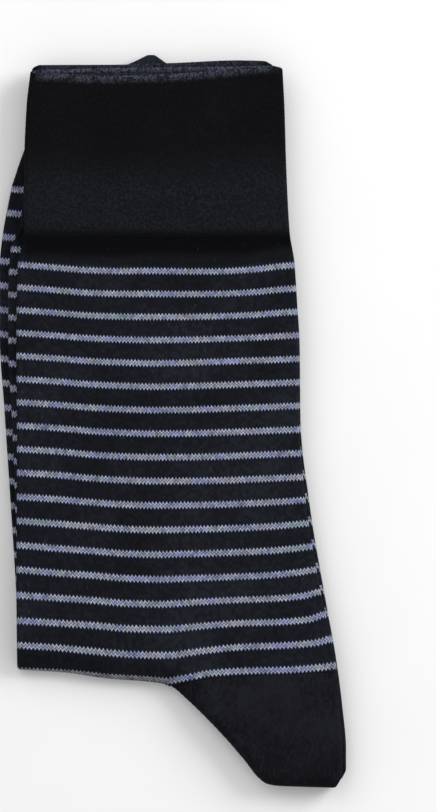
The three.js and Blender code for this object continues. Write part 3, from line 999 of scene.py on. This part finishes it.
def heel(sock, columns, back_columns, rows, relief):
    """The heel pocket, round the fold from the sole's last striped course to the leg's. Its
    section is open at the instep corner, where the skins meet on a cut edge."""
    across = np.linspace(0, 1, columns)
    back = np.linspace(1, 0, back_columns)
    near, part = rows_to(rows, 0.5)
    up = np.arange(1 - len(near), len(near))[:, None] >= 0
    near, part = (np.concatenate([one_way[:0:-1], one_way]) for one_way in (near, part))

    def right(y, s):
        leg_side, foot_side = sock.leg_right(y), sock.foot_right(y)
        return foot_side + (leg_side - foot_side) * smooth(s / HEEL_BLEND + 0.5)

    def left(y, s):
        return sock.corner + HEEL_CUT + 0 * y

    def distances(x):
        above, below = np.maximum(sock.heel_up(x), SLIVER), np.minimum(sock.heel_down(x), -SLIVER)
        end = np.where(up, above, below)
        return run(0 * end, end, near, part)

    turn, wales = wales_of(across, back, open_left=True)
    front, behind = grids(sock, left, right, across, back, distances, cut=True)
    x, y = front[0][..., 0], front[0][..., 1]
    on_leg = smooth((front[0][..., 2] - sock.foot_height) / 4)
    folds = creased(HEEL_CREASES, x, y) * on_leg if sock is outer else 0 * x
    raised = ridges(wales[: len(across)]) * relief + folds - RIDGE * relief * (1 - on_leg)
    skin = ring(front, behind, turn, HALF, raised, open_left=True)
    inside = ring(front, behind, turn, HALF - WALL, open_left=True)
    points = np.concatenate([skin, inside[:, ::-1]], axis=1)
    s = distances(points[..., 0])
    courses = LAST_STRIPE + 1 + (sock.heel_up(points[..., 0]) - s) / COURSE
    wales = np.concatenate([wales, 2 * wales[-1] - wales[::-1] + 1])
    wales = np.append(wales, wales[-1] + 1)
    return knit_piece(f"{sock.name}_heel_knit", points, wales, courses, PLAIN, loop=False)


TOE_SEAM = 11.0                 # the linked seam lies this far from the tip
SEAM_HEIGHT, SEAM_WIDTH = 0.28, 0.55
TIP_ROUND = 1.6                 # the toe comes to its full thickness over this length
TIP_START = 0.06                # and starts this far into it


def toe(sock, columns, rows):
    """The toe cap, from its tip down to its first course. Its thickness rounds off at the tip as
    half sqrt(1 - (1 - t)^2), and on the inner sock the linked seam stands up as a thin ridge."""
    across = np.linspace(0, 1, columns)
    back = across[::-1]
    share = np.linspace(0, 1, rows)[:, None] ** 1.6

    def distances(x):
        return sock.to_tip(x) + (sock.to_toe(x) - sock.to_tip(x)) * share

    turn, wales = wales_of(across, back)
    sides = either(sock.toe_left), either(sock.toe_right)
    front, behind = grids(sock, *sides, across, back, distances)
    from_tip = distances(front[0][..., 0]) - sock.to_tip(front[0][..., 0])
    rounded = np.sqrt(1 - (1 - np.clip(from_tip[:, :1] / TIP_ROUND + TIP_START, 0, 1)) ** 2)
    seam = SEAM_HEIGHT * np.exp(-(((from_tip - TOE_SEAM) / SEAM_WIDTH) ** 2))
    lift = seam if sock is inner else 0 * seam
    skin = ring(front, behind, turn, HALF * rounded, lift)
    inside = ring(front, behind, turn, (HALF - WALL) * rounded)
    points = np.concatenate([skin, inside[1:][::-1]])
    s = distances(points[:rows, :, 0])
    courses = LAST_STRIPE - s / sock.foot_course
    courses = np.concatenate([courses, courses[1:][::-1]])
    return knit_piece(f"{sock.name}_toe_knit", points, wales, courses, PLAIN)


WELT_DROPS = {"outer": 1.2, "inner": 0.75}      # a welt's lower edge comes down so far to the leg
WELT_ROUND = 3.4                # over this length
RIM_STEPS = 6                   # rows round the rolled edge of a mouth
CUFF_COURSE = 0.62              # height of one course of the double knit


def cuff_rows(sock, across, turn, back, row, half, inset):
    """Rings of a cuff's outer or inner skin. A station at `across` with face cos t and bulge
    sin t lies at x = left + half + (width - 2 half) across + half bulge, and every wall runs
    from the welt's lower edge, row 0, up to its own top edge, row 1."""
    face = np.concatenate([np.ones_like(across), np.cos(turn), -np.ones_like(back), -np.cos(turn)])
    bulge = np.concatenate([0 * across, np.sin(turn), 0 * back, -np.sin(turn)])
    every = np.concatenate([across, np.ones_like(turn), back, np.zeros_like(turn)])
    x = np.zeros((len(row), len(every)))
    for _ in range(SETTLINGS):
        top = sock.back_at(x) + (sock.front_at(x) - sock.back_at(x)) * (face + 1) / 2
        low = sock.welt_at(x)
        y = low + (top - low) * row
        a, b = sock.leg_left(y) + inset, sock.leg_right(y) - inset
        x = a + half + (b - a - 2 * half) * every + half * bulge
    opened = np.maximum(0, 1 - (sock.front_at(x) - y) / MOUTH_DEPTH)
    lift = sock.mouth_lift * (np.sin(math.pi * every) * opened) ** 2 * np.maximum(0, face)
    z = sock.cuff_height + half * face + lift
    return np.stack([x, y, z], -1), top - y, face


def cuff(sock, per_wale, back_columns, rows, relief):
    """The cuff: an open double-walled tube with a rolled edge round its mouth, a half circle
    from the outer skin to the inner one. Its lower end comes down to the leg's face."""
    across = np.linspace(0, 1, FACE_WALES * per_wale + 1)
    back = np.linspace(1, 0, back_columns)
    turn, wales = wales_of(across, back)
    height = sock.front_at(0.0) - sock.welt_course
    low = np.linspace(0, WELT_ROUND, 9)[:-1] / height
    row = np.concatenate([low, np.linspace(WELT_ROUND / height, 1, rows)])[:, None]
    skin, depth, face = cuff_rows(sock, across, turn, back, row, WELT / 2, 0)
    inner_row = np.linspace(0, 1, 24)[:, None]
    lining, inner_depth, _ = cuff_rows(
        sock, across, turn, back, inner_row, WELT / 2 - WELT_WALL, WELT_WALL
    )
    above = skin[..., 1] - sock.welt_at(skin[..., 0])
    drop = WELT_DROPS[sock.name] * (1 - smooth(above / WELT_ROUND)) * np.maximum(0, face)
    folds = creased(CUFF_CREASES, skin[..., 0], skin[..., 1]) if sock is outer else 0
    skin[..., 2] += ridges(wales[:-1]) * relief * (face == 1) - drop
    skin[..., 2] += folds * (face == 1) * smooth(above / 6) * smooth(depth / 6)
    centre, reach_out = (skin[-1] + lining[-1]) / 2, (skin[-1] - lining[-1]) / 2
    size = np.linalg.norm(reach_out, axis=-1, keepdims=True)
    onward = np.array([0, 1.0, 0])
    angles = (math.pi * np.arange(1, RIM_STEPS + 1) / (RIM_STEPS + 1))[:, None, None]
    rim = centre + np.cos(angles) * reach_out + np.sin(angles) * size * onward
    points = np.concatenate([skin, rim, lining[::-1]])
    round_rim = np.broadcast_to(angles[:, :, 0] * WELT_WALL / 2, rim.shape[:2])
    down = np.concatenate([-depth, round_rim, inner_depth[::-1] + WELT_WALL * math.pi / 2])
    finish = OUTER_CUFF_KNIT if sock is outer else INNER_CUFF_KNIT_SHADED_RIM
    return knit_piece(f"{sock.name}_cuff_knit", points, wales, down / CUFF_COURSE, finish)


# Columns a wale, or across in heels and toes, then columns behind, rows, and the wales' relief
PIECES = {
    "outer_leg": leg(outer, 4, 41, 180, 1.0),
    "inner_leg": leg(inner, 1, 41, 120, 0.0),
    "outer_foot": foot(outer, 3, 41, 160, 1.0),
    "inner_foot": foot(inner, 1, 81, 120, 0.0),
    "outer_heel": heel(outer, 121, 41, 60, 1.0),
    "inner_heel": heel(inner, 41, 21, 30, 0.0),
    "outer_toe": toe(outer, 81, 40),
    "inner_toe": toe(inner, 81, 40),
    "outer_cuff": cuff(outer, 4, 81, 70, 0.7),
    "inner_cuff": cuff(inner, 1, 81, 60, 0.0),
}

for node, piece in PIECES.items():
    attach(piece, "root")
    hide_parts(node)


FLOOR_REACH, FLOOR_LEVEL = 2.5, -0.0002     # in metres


def stage_floor():
    """A plain pale floor that the pair lies on."""
    finish = Finish("floor")
    grain = finish.noise(finish.node("ShaderNodeTexCoord", None, None, output=3), 30.0)
    paper = finish.mix(grain, colour(243, 243, 243), colour(247, 247, 247))
    shader = finish.node("ShaderNodeBsdfPrincipled", None, {"Base Color": paper, "Roughness": 0.9})
    finish.node("ShaderNodeOutputMaterial", None, {"Surface": shader})
    corners = np.array([(-1, -1), (1, -1), (1, 1), (-1, 1)]) * FLOOR_REACH
    mesh = bpy.data.meshes.new("floor")
    mesh.from_pydata([(x, y, FLOOR_LEVEL) for x, y in corners], [], [(0, 1, 2, 3)])
    mesh.materials.append(finish.material)
    floor = bpy.data.objects.new("floor", mesh)
    bpy.context.scene.collection.objects.link(floor)


# The photograph's height in pixels, and a pixel's size in millimetres
PHOTO_HEIGHT = 812
PIXEL = 0.34
VIEW_MIDDLE = (15.57, 5.19)     # middle of the view on the frame's X and Y
VIEW_LEVEL = 9.0                # height at which a pixel measures PIXEL
CAMERA_ABOVE = 3000.0
SENSOR = 36.0


def add_camera():
    """A camera straight above. Its lens shows the photograph's height, the longer side, at
    VIEW_LEVEL: lens = SENSOR distance / height."""
    data = bpy.data.cameras.new("camera")
    data.sensor_width = SENSOR
    data.lens = SENSOR * CAMERA_ABOVE / (PHOTO_HEIGHT * PIXEL)
    camera = bpy.data.objects.new("camera", data)
    camera.location = [c * MM for c in (*VIEW_MIDDLE, VIEW_LEVEL + CAMERA_ABOVE)]
    bpy.context.scene.collection.objects.link(camera)
    bpy.context.scene.camera = camera


def add_light(name, place, size, power):
    """A square soft box of `power` watts that looks at the pair."""
    data = bpy.data.lights.new(name, "AREA")
    data.shape, data.size, data.energy = "SQUARE", size, power
    light = bpy.data.objects.new(name, data)
    light.location = place
    towards = -np.array(place, float)
    yaw = math.atan2(towards[1], towards[0]) - math.pi / 2
    tilt = math.acos(-towards[2] / np.linalg.norm(towards))
    light.rotation_euler = (tilt, 0, yaw)
    bpy.context.scene.collection.objects.link(light)


def add_sky(strength):
    """Even white light from all round."""
    world = bpy.data.worlds.new("studio")
    world.use_nodes = True
    background = world.node_tree.nodes["Background"].inputs
    background["Color"].default_value = (1, 1, 1, 1)
    background["Strength"].default_value = strength
    bpy.context.scene.world = world


stage_floor()
add_camera()
add_light("key", (1.2, 0.7, 0.8), size=0.8, power=17.0)
add_light("fill", (-0.6, 0.9, 1.1), size=1.2, power=5.0)
add_sky(0.62)
bpy.context.scene.view_settings.view_transform = "Standard"
